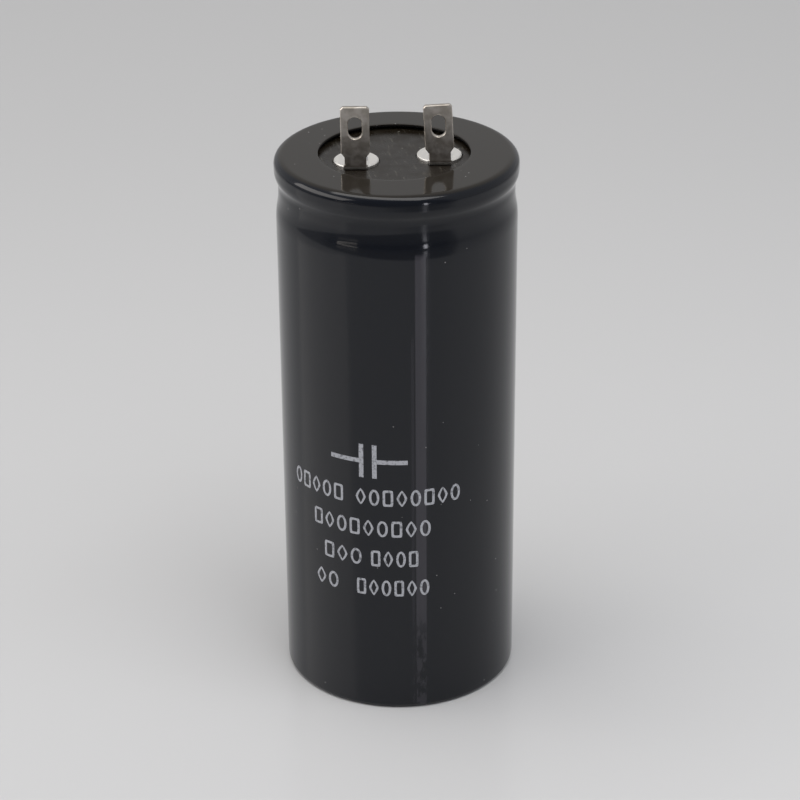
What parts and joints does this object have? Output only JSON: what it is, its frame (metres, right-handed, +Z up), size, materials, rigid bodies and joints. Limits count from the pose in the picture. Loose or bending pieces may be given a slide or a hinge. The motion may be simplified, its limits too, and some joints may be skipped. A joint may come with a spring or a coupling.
{
  "type": "motor start capacitor",
  "caption": "Cylindrical motor start capacitor: black shrink-sleeved can with beaded neck and rolled rim, closed by a recessed cover with slotted upright blade terminals.",
  "frame": {"origin": "centre of the base, on the surface that it stands on", "axes": "+Z up along the can's axis to the terminals; the terminals stand apart along X; their blades are on the -Y side"},
  "size_m": [0.041, 0.041, 0.1065],
  "materials": {
    "sleeve_pvc": "glossy black heat-shrunk PVC",
    "can_aluminium": "drawn, bare",
    "cover_phenolic": "satin moulded phenolic",
    "seal_rubber": "matt",
    "terminal_tinned": "stamped strip, bright tin plated",
    "rivet_aluminium": "headed, bare",
    "lead_aluminium": "soft rolled strip",
    "winding_paper": "impregnated kraft paper roll",
    "disc_fibre": "vulcanised fibre board",
    "pitch": "poured pitch"
  },
  "bodies": {
    "root": {"sleeve": "sleeve_pvc", "can": "can_aluminium", "cover": "cover_phenolic", "seal_ring": "seal_rubber", "terminal_left": "terminal_tinned", "terminal_right": "terminal_tinned", "rivet_left": "rivet_aluminium", "rivet_right": "rivet_aluminium", "rivet_washer_left": "rivet_aluminium", "rivet_washer_right": "rivet_aluminium", "lead_strip_left": "lead_aluminium", "lead_strip_right": "lead_aluminium", "winding": "winding_paper", "winding_tape": "winding_paper", "insulating_disc": "disc_fibre", "anchor_pitch": "pitch"}
  },
  "joints": []
}
